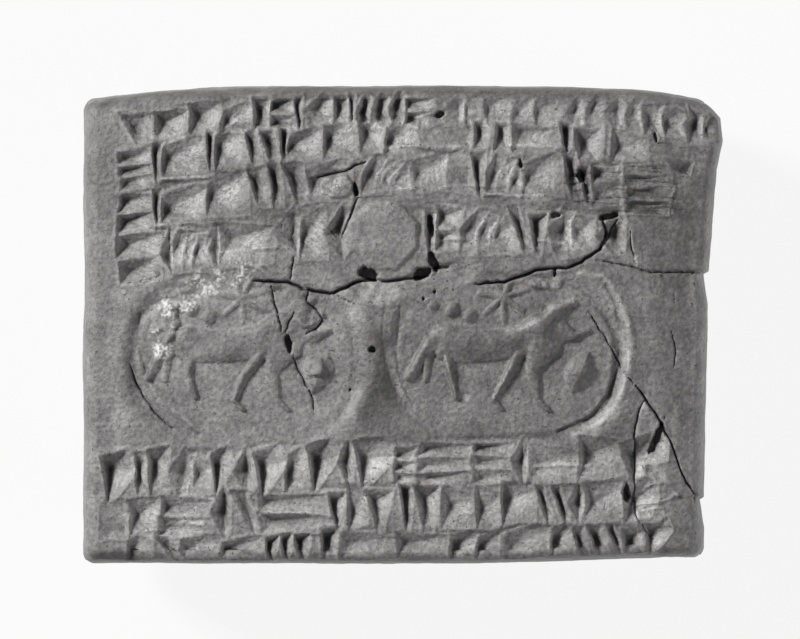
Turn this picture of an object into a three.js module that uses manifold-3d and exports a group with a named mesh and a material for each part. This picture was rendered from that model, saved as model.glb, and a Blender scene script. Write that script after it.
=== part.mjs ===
/**
 * A small clay tablet, lying on its back with the inscribed face up.
 *
 * The body is a pillow-shaped block with rounded edges. Its face has four rows of wedge strokes, then two
 * impressions of one oval stamp seal side by side, then three more rows. It was broken and put together
 * again, so cracks cross the face, and a lump of squeezed clay stands up in the fourth row.
 *
 * Millimetres, +Z up. X runs along the rows and Y across them. The origin is under the middle of the
 * body, on the surface that the tablet rests on.
 */
import * as THREE from 'three';
import { mergeVertices } from 'three/addons/utils/BufferGeometryUtils.js';
import Module from 'manifold-3d';

const wasm = await Module();
wasm.setup();

// ---------------------------------------------------------------- driving dimensions, in millimetres

const LENGTH = 57;
const WIDTH = 42.5;
const THICKNESS = 22;
const EDGE_REACH = { across: 1.1, down: 2.1 };   // how far the rounding of the edges reaches
const FACE_FALL = { x: 2.0, y: 0.9 };            // how far the face falls from its middle to its edges
const BACK_FALL = { x: 2.8, y: 1.8 };
const RESTING_FLAT = 0.3;                        // worn off the highest part of the back
const SIDE_BULGE = 0.6;                          // the sides are this much fuller at mid-height
const TOP_BOW = 1.2;                             // the top edge drops this much towards its corners
const FOOT_BOW = 0.5;                            // the lower edge rises this much towards its right corner
const RIGHT_TAPER = 1.9;                         // the right side leans in this much at its lower end
const CORNER_CHIP = { x: 25.9, y: 20.2, turn: THREE.MathUtils.degToRad(-28.5) };
const BODY_GRID = { x: 22, y: 18, z: 6 };
const GRID_CROWDING = 0.42;                      // how much closer the grid is drawn near the edges

const CLAY = { color: 0x7d7b7b, roughness: 0.8, metalness: 0 };

const HALF = new THREE.Vector3(LENGTH / 2, WIDTH / 2, (THICKNESS + RESTING_FLAT) / 2);
const REACH = new THREE.Vector3(EDGE_REACH.across, EDGE_REACH.across, EDGE_REACH.down);

/**
 * The rows of strokes. A row's foot line is an arch: it is highest at `middle`, and `fall` lower at
 * ARCH_SPAN from there. `groups` lists the stroke groups from left to right, each a letter of
 * STROKES and the width that the group takes up. A dot leaves that width bare.
 */
const ARCH_SPAN = 30;
const EDGE_OF_WRITING = WIDTH / 2 - 0.6;         // no stroke reaches beyond this, up or down
const ROWS = [
  {
    start: -25.2, foot: 17.9, fall: 1.7, middle: 5, tall: 2.5,
    groups: 's3.1 a3 a3.1 a3.1 v1.5 z2.3 v.9 a2.4 .0.2 b1.7 a3.2 s1.3 v.8 z2.4 .0.9 '
      + 'a2.4 a2.3 a2.2 a3 v.8 a2.6 a3.4 v1 a3',
  },
  {
    start: -25, foot: 15.2, fall: 3.0, middle: 4, tall: 2.8,
    groups: 'e3 v1 a4.2 a2.4 s1.9 s2 a3.6 a3.1 b2.3 .0.2 r7.2 v1.7 .0.6 v2 l3.8 v1.4 b2.3 .1 h3',
  },
  {
    start: -25, foot: 11.7, fall: 3.9, middle: 4, tall: 3.3,
    groups: 'z3 v.8 a4.2 a3.6 s1.6 s1.4 s1.2 a3 t3 n4 a1.5 c4 v1.3 z3 b3.4 s1.4 s1.2 z3.4 .0.4 e4',
  },
  {
    start: -25, foot: 6.7, fall: 2.6, middle: 6, tall: 3.5,
    groups: 'z3.8 v1.3 b1.9 .0.4 l5.6 v1.1 t3 t2.9 .6.8 v.9 z2.1 n4.2 d1.8 v1.5 c4.2 t2.6',
  },
  {
    start: -26, foot: -13.6, fall: 0.9, middle: 12, tall: 3.5,
    groups: 't2.1 b1 b1.8 c3.8 p1.8 t1.9 p2.7 a2 p2.7 t1.4 p3.7 e1.9 e5 e3.1 t1.6 h4.6 l3.8 p3.6',
  },
  {
    start: -24.5, foot: -17.6, fall: 0.7, middle: 14, tall: 3.4,
    groups: 'b2.6 z4.6 t1.7 d2.4 .0.2 z6 v1.8 h1.7 v2.3 .0.6 v1.3 v2.4 h3 h2.1 '
      + 'l3 d1.5 d1.4 t1.4 h3.2 .0.2 b3',
  },
  {
    start: -24.7, foot: -20.8, fall: 0.3, middle: 14, tall: 2.6,
    groups: 'a2.2 d2.8 a3.2 a4 v1.3 v1.3 v1.5 .0.8 b1.6 l5 l4.4 .0.4 '
      + 'a2.4 a2.3 a4 a1.9 s1.4 s1.6 d1.4 b2 p2.8',
  },
];

/**
 * A stroke is a dent with three sides. The corners of its rim and the plan of its deepest point,
 * its tip, are given as shares of the group's width and of the row's height.
 */
const STROKES = {
  v: [{ rim: [[0, 1], [1, 0.9], [0.5, 0]], tip: [0.28, 0.7], depth: 0.7 }],
  b: [{ rim: [[0, 1], [1, 0.95], [0.6, 0]], tip: [0.3, 0.6], depth: 0.7 }],
  s: [{ rim: [[0, 0.97], [1, 0.9], [0.75, 0.03]], tip: [0.42, 0.6], depth: 0.7 }],
  t: [{ rim: [[0.25, 1], [1, 0.3], [0.1, 0]], tip: [0.35, 0.45], depth: 0.7 }],
  a: [{ rim: [[0, 0.3], [0.95, 1], [1, 0]], tip: [0.5, 0.46], depth: 0.65 }],
  d: [{ rim: [[0, 1], [0.6, 1], [1, 0.02]], tip: [0.56, 0.6], depth: 0.6 }],
  h: [{ rim: [[0, 0.96], [1, 0.5], [0, 0.04]], tip: [0.16, 0.56], depth: 0.65 }],
  l: [{ rim: [[0, 0.9], [1, 0.5], [0.02, 0.05]], tip: [0.12, 0.56], depth: 0.6 }],
  p: [{ rim: [[0, 0.95], [1, 0.85], [0.3, 0]], tip: [0.3, 0.6], depth: 0.7 }],
  r: [{ rim: [[0, 0.3], [0.6, 0.98], [1, 0]], tip: [0.4, 0.3], depth: 0.6 }],
  z: [
    { rim: [[0, 0.98], [1, 0.75], [0, 0.54]], tip: [0.14, 0.78], depth: 0.5 },
    { rim: [[0, 0.46], [1, 0.25], [0, 0.02]], tip: [0.14, 0.26], depth: 0.5 },
  ],
  e: [
    { rim: [[0, 0.99], [1, 0.84], [0, 0.7]], tip: [0.14, 0.86], depth: 0.4 },
    { rim: [[0, 0.65], [1, 0.5], [0, 0.36]], tip: [0.14, 0.52], depth: 0.4 },
    { rim: [[0, 0.31], [1, 0.16], [0, 0.02]], tip: [0.14, 0.18], depth: 0.4 },
  ],
  n: [
    { rim: [[0, 0.4], [0.3, 0.97], [0.32, 0]], tip: [0.2, 0.45], depth: 0.45 },
    { rim: [[0.35, 0.35], [0.63, 0.9], [0.65, 0]], tip: [0.55, 0.4], depth: 0.45 },
    { rim: [[0.68, 0.3], [0.96, 0.8], [1, 0]], tip: [0.88, 0.35], depth: 0.45 },
  ],
  c: [
    { rim: [[0, 0.5], [0.46, 1], [0.46, 0.02]], tip: [0.3, 0.5], depth: 0.65 },
    { rim: [[0.52, 0.8], [1, 0.45], [0.52, 0.06]], tip: [0.62, 0.46], depth: 0.55 },
  ],
};
const TOOL_RISE = 0.6;                           // a cutter reaches this far above the face
const HAND_STRAY = { tall: 0.16, up: 0.3, depth: 0.3 };

/** The two impressions of the seal: an oval dish with a rounded ridge round its floor. */
const SEAL_CENTRES = [{ x: -14, y: -3 }, { x: 9.25, y: -3 }];
const SEAL = { halfLength: 11, halfWidth: 7.8, depth: 0.5, segments: 32 };
const SEAL_RIDGE = { feet: [0.86, 0.94], rise: 0.3 };   // the ridge's feet as shares of the way out

/** The animal on the seal: a four-legged beast with a star over its back. */
const ANIMAL_LIMBS = [
  { from: [-5.9, 2.6], to: [-7.6, 1.1], thick: [1.2, 0.9] },     // neck
  { from: [-7.6, 1.1], to: [-8.9, -1.8], thick: [1.0, 0.5] },    // head, muzzle down
  { from: [-5.4, 1], to: [-4.6, -3.2], thick: [0.7, 0.35] },     // forelegs
  { from: [-4.5, 0.5], to: [-4.2, -2], thick: [0.6, 0.35] },
  { from: [0.6, 0], to: [-1.2, -3.5], thick: [0.9, 0.4] },       // near hind leg and its foot
  { from: [-1.2, -3.5], to: [-0.4, -4.3], thick: [0.4, 0.35] },
  { from: [2, 0], to: [3, -3.8], thick: [0.9, 0.4] },            // far hind leg and its foot
  { from: [3, -3.8], to: [3.8, -4.5], thick: [0.4, 0.35] },
  { from: [1.5, 2.2], to: [4, 4.2], thick: [1.4, 0.9] },         // haunch
  { from: [4, 4.2], to: [5.9, 5], thick: [0.9, 0.5] },           // tail, up and over
  { from: [5.9, 5], to: [7.2, 2.6], thick: [0.5, 0.3] },
];
const ANIMAL_BODY = { x: -1.6, y: 1.3, halfLength: 4.6, halfWidth: 1.6 };
const STAR = { x: -0.3, y: 5.2, rays: 6, length: 1.7, thick: 0.28 };
const LOZENGE = { x: 6.4, y: -0.9, halfLength: 1.9, halfWidth: 1.3 };
const RELIEF = 0.75;                             // how far the animal stands up from the dish's floor

/** The lump of squeezed clay that interrupts the fourth row. */
const LUMP = { x: -1.9, y: 7.8, halfLength: 2.9, halfWidth: 3.3, rise: 0.3 };

/** Cracks, as the points of their lines, their widest opening and their depth. */
const CRACKS = [
  {
    width: 0.6,
    depth: 1.2,
    line: [
      [-13, 3.8], [-8.9, 3.2], [-6.3, 2.7], [-3.6, 4], [0.9, 4.1], [2, 4.6], [6.3, 3.6], [11.5, 4.8],
      [16, 5.8], [17.4, 6.8], [17.8, 9.4],
    ],
  },
  { width: 0.4, depth: 0.9, line: [[17.2, 5.5], [21.5, 4.7], [27.9, 4.5]] },
  { width: 0.5, depth: 1.1, line: [[16.4, 1], [19, -3.4], [22.3, -7.8], [24.3, -11], [26.8, -16]] },
  { width: 0.4, depth: 0.9, line: [[21.2, -6.6], [20.3, -9.7], [20.3, -16.5], [21.6, -19.8]] },
  { width: 0.4, depth: 0.7, line: [[-11.7, 3.7], [-11, 0.6], [-9.6, -2.6], [-7.8, -8]] },
];

/** Pits where a chip of clay is missing along the cracks. */
const PITS = [
  { x: 1.7, y: 4.5, halfLength: 0.9, halfWidth: 0.7, depth: 1.4 },
  { x: -3, y: 4.5, halfLength: 0.9, halfWidth: 0.5, depth: 1.2 },
  { x: 17.8, y: 9.5, halfLength: 0.9, halfWidth: 0.4, depth: 1.1 },
  { x: -4.2, y: 11.9, halfLength: 0.3, halfWidth: 0.6, depth: 0.9 },
];

// ---------------------------------------------------------------- the body's shape

const clamp = THREE.MathUtils.clamp;
const smoothstep = THREE.MathUtils.smoothstep;

/** Moves a point of the evenly rounded block to where it is on the hand-made tablet. */
function settle(point) {
  const u = point.x / HALF.x;
  const v = point.y / HALF.y;
  const w = point.z / HALF.z;
  const fall = w > 0 ? FACE_FALL : BACK_FALL;
  const fullness = 1 - (SIDE_BULGE * w * w) / HALF.x;
  const taper = (RIGHT_TAPER * (1 - v) * smoothstep(u, 0.5, 1)) / 2;
  const topBow = TOP_BOW * u ** 4 * smoothstep(v, 0.3, 1);
  const footBow = FOOT_BOW * smoothstep(u, 0.2, 0.8) * smoothstep(-v, 0.3, 1);
  const height = point.z * (1 - (fall.x * u * u + fall.y * v * v) / HALF.z);
  return new THREE.Vector3(
    point.x * fullness - taper,
    point.y * fullness - topBow + footBow,
    Math.max(height, RESTING_FLAT - HALF.z) + HALF.z - RESTING_FLAT,
  );
}

/** Rounds the edges of a point on the surface of the plain block. */
function roundOff(point) {
  const core = HALF.clone().sub(REACH);
  const inner = point.clone().clamp(core.clone().negate(), core);
  const outward = point.clone().sub(inner).divide(REACH).normalize();
  return inner.add(outward.multiply(REACH));
}

/** The point at a height above the face, over the plan position x, y. */
function onFace(x, y, up = 0) {
  const overX = clamp((Math.abs(x) - HALF.x + REACH.x) / REACH.x, 0, 1);
  const overY = clamp((Math.abs(y) - HALF.y + REACH.y) / REACH.y, 0, 1);
  const shoulder = Math.sqrt(Math.max(0, 1 - overX * overX - overY * overY));
  const face = settle(new THREE.Vector3(x, y, HALF.z - REACH.z * (1 - shoulder)));
  return face.setZ(face.z + up);
}

// ---------------------------------------------------------------- solids

/** A closed geometry as a solid that can be joined and cut. */
function solid(geometry) {
  const bare = geometry.clone();
  for (const name of Object.keys(bare.attributes)) {
    if (name !== 'position') bare.deleteAttribute(name);
  }
  const merged = mergeVertices(bare, 1e-4);
  const mesh = new wasm.Mesh({
    numProp: 3,
    vertProperties: new Float32Array(merged.attributes.position.array),
    triVerts: new Uint32Array(merged.index.array),
  });
  return new wasm.Manifold(mesh);
}

/** Moves every point of a geometry by a function that gives its new place. */
function reshape(geometry, move) {
  const position = geometry.attributes.position;
  const point = new THREE.Vector3();
  for (let i = 0; i < position.count; i += 1) {
    const moved = move(point.fromBufferAttribute(position, i));
    position.setXYZ(i, moved.x, moved.y, moved.z);
  }
  return geometry;
}

/** A geometry made flat over the plan, its z being a height above the face, laid on the face. */
function layOnFace(geometry, centre = { x: 0, y: 0 }) {
  return reshape(geometry, (p) => onFace(p.x + centre.x, p.y + centre.y, p.z));
}

/** A geometry from a list of points and of triangles of their numbers. */
function fromTriangles(points, triangles) {
  const geometry = new THREE.BufferGeometry();
  geometry.setAttribute('position', new THREE.Float32BufferAttribute(points.flat(), 3));
  geometry.setIndex(triangles.flat());
  return geometry;
}

/** The block, with its grid drawn closer together towards the edges, rounded off and settled. */
function body() {
  const block = new THREE.BoxGeometry(LENGTH, WIDTH, 2 * HALF.z, BODY_GRID.x, BODY_GRID.y, BODY_GRID.z);
  const crowd = (share) => share * (1 + GRID_CROWDING * (1 - share * share));
  return solid(reshape(block, (p) => {
    const spread = new THREE.Vector3(crowd(p.x / HALF.x), crowd(p.y / HALF.y), crowd(p.z / HALF.z));
    return settle(roundOff(spread.multiply(HALF)));
  }));
}

/** The broken-off corner, as a block whose near side is the break. */
function cornerChip() {
  const reach = WIDTH / 4;
  const chip = new THREE.BoxGeometry(reach, reach, 2 * THICKNESS);
  chip.translate(0, reach / 2, 0);
  chip.rotateZ(CORNER_CHIP.turn);
  chip.translate(CORNER_CHIP.x, CORNER_CHIP.y, THICKNESS / 2);
  return solid(chip);
}

/** One stroke's cutter: a pyramid upside down, opened out above the face. */
function strokeCutter(corners, deepest, depth) {
  const tip = onFace(...deepest, -depth);
  const spread = (depth + TOOL_RISE) / depth;
  const rim = corners.map((corner) => {
    const toFace = onFace(...corner).sub(tip);
    return tip.clone().add(toFace.multiplyScalar(spread)).toArray();
  });
  const sides = [[0, 2, 1], [0, 1, 3], [1, 2, 3], [2, 0, 3]];
  return solid(fromTriangles([...rim, tip.toArray()], sides));
}

/** How much a stroke strays from its model, the same each time for the same stroke. */
function stray(number) {
  const scatter = Math.sin(number * 12.9898) * 43758.5453;
  return scatter - Math.floor(scatter) - 0.5;
}

/** The cutters of one row. */
function rowCutters(row, rowNumber) {
  const cutters = [];
  let x = row.start;
  row.groups.split(' ').forEach((group, place) => {
    const number = 40 * rowNumber + place;
    const width = Number(group.slice(1));
    const fromMiddle = (x + width / 2 - row.middle) / ARCH_SPAN;
    const foot = row.foot - row.fall * fromMiddle ** 2 + HAND_STRAY.up * stray(number + 0.5);
    const tall = row.tall * (1 + HAND_STRAY.tall * stray(number));
    const inPlace = ([across, up]) => [
      x + across * width,
      clamp(foot + up * tall, -EDGE_OF_WRITING, EDGE_OF_WRITING),
    ];
    for (const { rim, tip, depth } of STROKES[group[0]] ?? []) {
      const pressed = depth * (1 + HAND_STRAY.depth * stray(number + 0.7));
      cutters.push(strokeCutter(rim.map(inPlace), inPlace(tip), pressed));
    }
    x += width;
  });
  return cutters;
}

/** A bar that lies on the seal's floor, half sunk in it, from one point to another. */
function limb(from, to, thick) {
  const start = new THREE.Vector2(...from);
  const run = new THREE.Vector2(...to).sub(start);
  const bar = new THREE.CylinderGeometry(thick[1], thick[0], run.length() + thick[1], 6);
  bar.scale(1, 1, RELIEF / thick[0]);
  bar.rotateZ(run.angle() - Math.PI / 2);
  bar.translate(start.x + run.x / 2, start.y + run.y / 2, 0);
  return bar;
}

/** An oval swelling, half sunk in the floor. */
function swelling({ x, y, halfLength, halfWidth }, rise, round = 10) {
  const ball = new THREE.SphereGeometry(1, round, 6);
  ball.scale(halfLength, halfWidth, rise);
  ball.translate(x, y, 0);
  return ball;
}

/** The star's rays, as thin bars through its middle. */
function starBars() {
  const bars = [];
  for (let ray = 0; ray < STAR.rays / 2; ray += 1) {
    const angle = (2 * Math.PI * ray) / STAR.rays + 0.4;
    const tip = [STAR.length * Math.cos(angle), STAR.length * Math.sin(angle)];
    const ends = [[STAR.x - tip[0], STAR.y - tip[1]], [STAR.x + tip[0], STAR.y + tip[1]]];
    bars.push(limb(ends[0], ends[1], [STAR.thick, STAR.thick]));
  }
  return bars;
}

/** The lozenge in front of the tail: a low pyramid on a four-sided foot. */
function lozenge() {
  const diamond = new THREE.OctahedronGeometry(1);
  diamond.scale(LOZENGE.halfWidth, LOZENGE.halfLength, RELIEF);
  diamond.translate(LOZENGE.x, LOZENGE.y, 0);
  return diamond;
}

/** All that stands up inside the seal's dish. */
function sealFigures(centre) {
  const figures = [
    ...ANIMAL_LIMBS.map(({ from, to, thick }) => limb(from, to, thick)),
    swelling(ANIMAL_BODY, RELIEF),
    ...starBars(),
    lozenge(),
  ];
  return figures
    .map((figure) => solid(layOnFace(figure.translate(0, 0, -SEAL.depth), centre)))
    .reduce((all, figure) => all.add(figure));
}

/** The seal's cutter: its dish, without the figures that stay standing in it. */
function sealCutter(centre) {
  const [inner, outer] = SEAL_RIDGE.feet;
  const profile = [
    [0, -SEAL.depth],
    [inner, -SEAL.depth],
    [(inner + outer) / 2, -SEAL.depth + SEAL_RIDGE.rise],
    [outer, -SEAL.depth],
    [1, 0.02],
    [1.06, TOOL_RISE],
    [0, TOOL_RISE],
  ].map(([radius, up]) => new THREE.Vector2(radius, up));
  const dish = new THREE.LatheGeometry(profile, SEAL.segments);
  dish.rotateX(Math.PI / 2);
  dish.scale(SEAL.halfLength, SEAL.halfWidth, 1);
  return solid(layOnFace(dish, centre)).subtract(sealFigures(centre));
}

/** A crack's cutter: a groove with a sharp floor that pinches out at both ends. */
function crackCutter({ line, width, depth }) {
  const last = line.length - 1;
  const points = [];
  line.forEach(([x, y], place) => {
    const ahead = line[Math.min(place + 1, last)];
    const behind = line[Math.max(place - 1, 0)];
    const along = new THREE.Vector2(ahead[0] - behind[0], ahead[1] - behind[1]).normalize();
    const open = place === 0 || place === last ? 0.25 : 1;
    const side = along.multiplyScalar((open * width * (depth + TOOL_RISE)) / depth / 2);
    points.push(onFace(x - side.y, y + side.x, TOOL_RISE).toArray());
    points.push(onFace(x + side.y, y - side.x, TOOL_RISE).toArray());
    points.push(onFace(x, y, -depth * open).toArray());
  });
  const triangles = [[0, 2, 1], [3 * last, 3 * last + 1, 3 * last + 2]];
  for (let place = 0; place < last; place += 1) {
    for (let corner = 0; corner < 3; corner += 1) {
      const near = 3 * place + corner;
      const nearNext = 3 * place + ((corner + 1) % 3);
      triangles.push([near, nearNext, near + 3], [nearNext, nearNext + 3, near + 3]);
    }
  }
  return solid(fromTriangles(points, triangles));
}

/** A pit's cutter. */
function pitCutter(pit) {
  return solid(layOnFace(swelling({ ...pit, x: 0, y: 0 }, pit.depth, 6), pit));
}

// ---------------------------------------------------------------- the tablet

/** A solid as a three.js geometry with flat facets. */
function geometryOf(whole) {
  const { numProp, vertProperties, triVerts } = whole.getMesh();
  const geometry = new THREE.BufferGeometry();
  const points = new THREE.InterleavedBuffer(vertProperties, numProp);
  geometry.setAttribute('position', new THREE.InterleavedBufferAttribute(points, 3, 0));
  geometry.setIndex(new THREE.BufferAttribute(triVerts, 1));
  return geometry;
}

function tablet() {
  const lump = solid(layOnFace(swelling({ ...LUMP, x: 0, y: 0 }, LUMP.rise), LUMP));
  const cutters = [
    cornerChip(),
    ...ROWS.flatMap(rowCutters),
    ...SEAL_CENTRES.map(sealCutter),
    ...CRACKS.map(crackCutter),
    ...PITS.map(pitCutter),
  ];
  const whole = cutters.reduce((rest, cutter) => rest.subtract(cutter), body().add(lump));
  const mesh = new THREE.Mesh(geometryOf(whole), new THREE.MeshStandardMaterial(CLAY));
  mesh.name = 'tablet';
  return mesh;
}

const part = new THREE.Group();
part.add(tablet());

export default part;
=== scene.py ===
# The look of a small clay tablet that lies on its back: its fine relief, its clay, and a plain studio.
# Lengths are in millimetres until the mesh is made, and MM turns them into the frame's metres.
import math

import bpy
import numpy as np
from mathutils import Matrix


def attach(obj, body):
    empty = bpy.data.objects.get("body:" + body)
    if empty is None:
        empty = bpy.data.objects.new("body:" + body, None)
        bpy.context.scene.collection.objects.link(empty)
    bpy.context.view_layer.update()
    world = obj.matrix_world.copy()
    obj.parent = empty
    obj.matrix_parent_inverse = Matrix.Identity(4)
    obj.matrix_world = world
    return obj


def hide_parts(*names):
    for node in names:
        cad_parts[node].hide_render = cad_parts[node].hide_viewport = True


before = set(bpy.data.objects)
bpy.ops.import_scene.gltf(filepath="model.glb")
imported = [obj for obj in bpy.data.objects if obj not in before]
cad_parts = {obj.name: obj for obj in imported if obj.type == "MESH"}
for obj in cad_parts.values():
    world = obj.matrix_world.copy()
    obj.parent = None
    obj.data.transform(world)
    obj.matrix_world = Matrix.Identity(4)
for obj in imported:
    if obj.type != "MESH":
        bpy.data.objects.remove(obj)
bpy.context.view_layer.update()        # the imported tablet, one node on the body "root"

MM = 0.001

# ---------------------------------------------------------------- the body, close to the CAD's

LENGTH, WIDTH, THICKNESS = 57.0, 42.5, 22.0
RESTING_FLAT = 0.3
HALF = np.array([LENGTH / 2, WIDTH / 2, (THICKNESS + RESTING_FLAT) / 2])
REACH = np.array([1.0, 1.0, 2.0])      # how far the rounding of the edges reaches
FACE_FALL = (2.0, 0.9)                 # how far the face falls from its middle to its edges
BACK_FALL = (2.8, 1.8)
SIDE_BULGE = 0.6
TOP_BOW = 1.2
FOOT_BOW = 0.5                         # how far the foot draws in towards its right corner
FINISH = ("tone", "polish", "crust")   # what the clay's material reads at each point
SIDE_RUN = 0.8                         # how much a step down the side counts on the unrolled clay
SIDE_MARGIN = 10                       # how far the unrolled clay goes on past the face

# How uneven the clay is before anything is pressed into it, as heights, sizes of lump and seeds.
FACE_UNEVEN = [(0.09, 7, 1), (0.035, 1.5, 11)]
BACK_UNEVEN = [(0.12, 9, 5), (0.035, 1.6, 15)]
GRIT = 0.006

# The right side, as (y, x) down its edge: a flare at the top corner, and the lips of two cracks.
RIGHT_SIDE = [
    (21.25, 26.9), (19.6, 28.3), (17.5, 28.5), (14.5, 27.9), (4.75, 27.25), (4.55, 26.8), (2, 27.15),
    (-8, 26.9), (-15.7, 26.75), (-15.9, 26.35), (-18.5, 26.75), (-21, 26.7),
]

# ---------------------------------------------------------------- the writing

# A stroke is a dent like an upturned pyramid. It is given by its depth, its deepest point, and its
# corners, clockwise. Points are shares of the group's width and of the row's height.
STROKES = {
    "v": [(0.75, (0.3, 0.72), [(0, 1.02), (1.05, 1.04), (0.62, -0.04), (0.4, -0.02)])],
    "b": [(0.75, (0.3, 0.6), [(0, 1.02), (1.06, 1.04), (1.0, -0.02), (0.1, 0)])],
    "s": [(0.75, (0.45, 0.6), [(0, 1.02), (0.8, 1.0), (1.2, 0.02), (0.6, 0)])],
    "t": [(0.7, (0.62, 0.55), [(0.02, 0.5), (0.72, 1.06), (1.1, 0.9), (1.0, 0.1), (0.7, -0.05)])],
    "a": [(0.6, (0.12, 0.46), [(0, 0.34), (-0.02, 0.8), (0.8, 1.08), (1.06, 1), (1.06, 0.0), (0, -0.02)])],
    "w": [(0.7, (0.5, 0.55), [(0, 0.45), (0.72, 1.1), (1.06, 1), (1.06, 0.02), (0.3, -0.04)])],
    "k": [(0.45, (0.85, 0.3), [(0, 0.9), (0.3, 1.04), (1.04, 0.8), (1.02, 0.06), (0, 0.12)])],
    "q": [(0.8, (0.88, 0.4), [(0, 0.5), (0.9, 1.1), (1.15, 0.5), (0.95, 0)])],
    "d": [(0.65, (0.6, 0.6), [(0, 1.02), (0.5, 1.04), (1.15, 0.1), (0.85, -0.04)])],
    "h": [(0.65, (0.22, 0.5), [(0, 1.02), (1.04, 0.8), (1.04, 0.1), (0, 0)])],
    "z": [
        (0.65, (0.16, 0.78), [(0, 1.02), (1.04, 0.98), (1.04, 0.54), (0, 0.5)]),
        (0.65, (0.2, 0.28), [(0, 0.5), (1.04, 0.52), (1.04, 0.04), (0, -0.02)]),
    ],
    "e": [
        (0.48, (0.16, 0.86), [(0, 1.0), (1.04, 0.98), (1.04, 0.7), (0, 0.68)]),
        (0.48, (0.2, 0.53), [(0, 0.68), (1.04, 0.68), (1.04, 0.38), (0, 0.35)]),
        (0.48, (0.18, 0.2), [(0, 0.35), (1.04, 0.36), (1.04, 0.04), (0, 0)]),
    ],
    "l": [(0.65, (0.16, 0.6), [(0, 1.0), (1.04, 0.86), (1.04, 0.1), (0.03, 0)])],
    "p": [(1.0, (0.22, 0.6), [(-0.02, 0.95), (0.8, 1.1), (1.12, 0.7), (0.25, -0.12)])],
    "n": [
        (0.45, (0.14, 0.45), [(0, 0.5), (0.35, 1.0), (0.9, 1.0), (0.9, 0), (0, 0)]),
        (0.45, (0.45, 0.4), [(0.33, 0.45), (0.62, 0.9), (1.0, 0.9), (1.0, 0), (0.33, 0)]),
        (0.45, (0.75, 0.35), [(0.66, 0.4), (0.9, 0.8), (1.3, 0.8), (1.2, 0), (0.66, 0)]),
    ],
    "c": [
        (0.7, (0.36, 0.5), [(0, 0.55), (0.42, 1.08), (0.6, 1), (0.6, 0.02), (0.25, 0)]),
        (0.6, (0.64, 0.5), [(0.5, 0.85), (1.04, 0.75), (1.04, 0.1), (0.5, 0)]),
    ],
}
WORN_RIM = 0.03            # how far in from its rim a stroke's wall is worn
BENCH = 0.35               # how far a row's clay sinks at its head line
BENCH_PROFILE = [(-0.06, 0), (0, 0.2), (1, -0.8), (1.12, 0)]   # from foot line to head line: share, rise
PRESSURE = 1.5             # how much deeper the strokes are than their depths say
LIP = 0.09                 # how high the clay rises round a stroke
LIP_PLACE, LIP_WIDTH = 0.14, 0.1       # how far out the lip stands, and how wide it is
HAND_STRAY = 0.45          # how far the hand's stray moves a stroke's rim

# A row's foot line is an arch, highest at `middle` and `fall` lower at ARCH_SPAN from there. Its
# groups are written as the letter of a stroke and a width, and a dot leaves that width bare.
ARCH_SPAN = 30
ROWS = [
    {"start": -25, "foot": 17.6, "fall": 1.6, "middle": 5, "tall": 2.8, "groups":
     "s3 b3 b2.8 a3 b1.6 z2.1 v.6 w2.8 b1.4 v.5 w1.4 w1.4 w1.5 z2.4 .0.9 t2 a1.8 a2.4 a1.8 a2.8 "
     "w1.6 w1.8 t1.8 w1.6 b2 a1.8 w1.6 a2"},
    {"start": -25, "foot": 15.1, "fall": 3.3, "middle": 4, "tall": 3.4, "groups":
     "e3 v.8 a3.9 v.8 a2.4 s1.5 s1.7 s.8 a3 a3.2 b2.1 a3.5 k4.4 b1.3 .0.5 b1.6 l4.2 v1.3 b2.4 .1 "
     "h3"},
    {"start": -25, "foot": 11.6, "fall": 4.2, "middle": 4, "tall": 3.6, "groups":
     "z3 v.8 a3.9 a3.4 s1.9 s1.3 s2.4 a3.6 .1.2 n4.2 .0.2 a3 k2.2 v1.2 n3.1 a3.6 s1.4 s1.2 z2.6 "
     ".0.3 e4"},
    {"start": -25, "foot": 6.4, "fall": 2.6, "middle": 6, "tall": 3.9, "groups":
     "z3.7 q1 n2.8 q1.2 l4.9 q2.3 a2.2 t2 .6.9 v.9 z2.1 n4.2 d1.8 v1.5 c4.2 t2.6"},
    {"start": -26.8, "foot": -13.95, "fall": 0.9, "middle": 12, "tall": 3.8, "groups":
     "p3.3 b1 b1.8 c3.8 p1.8 t1.9 p2.7 a2 p2.7 t1.4 p3.7 e1.9 e5 e3.1 t1.6 h4.6 l3.8 p3.6"},
    {"start": -26.8, "foot": -17.8, "fall": 0.7, "middle": 14, "tall": 3.6, "groups":
     "k2.6 b2.6 z4.6 t1.7 d2.4 .0.2 z6 v1.8 h1.7 v2.3 .0.6 v1.3 v2.4 h3 h2.1 l3 d1.5 d1.4 t1.4 "
     "h3.2 .0.2 b3"},
    {"start": -24.4, "foot": -20.6, "fall": 0.3, "middle": 14, "tall": 2.5, "groups":
     "a2.2 d2.8 a3.2 a4 v1.3 v1.3 v1.5 .0.8 b1.6 l5 l4.4 .0.4 a2.4 a2.3 a4 a1.9 s1.4 s1.6 d1.4 b2 "
     "p2.8"},
]

# How much the hand varies from group to group: height as a share, and foot line in millimetres. And
# from stroke to stroke: corners as shares of the group's size, and depth as a share.
TALL_RANGE = (0.9, 1.12)
FOOT_RANGE = (-0.25, 0.15)
SHARE_STRAY = 0.06
DEPTH_RANGE = (0.75, 1.15)

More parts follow.
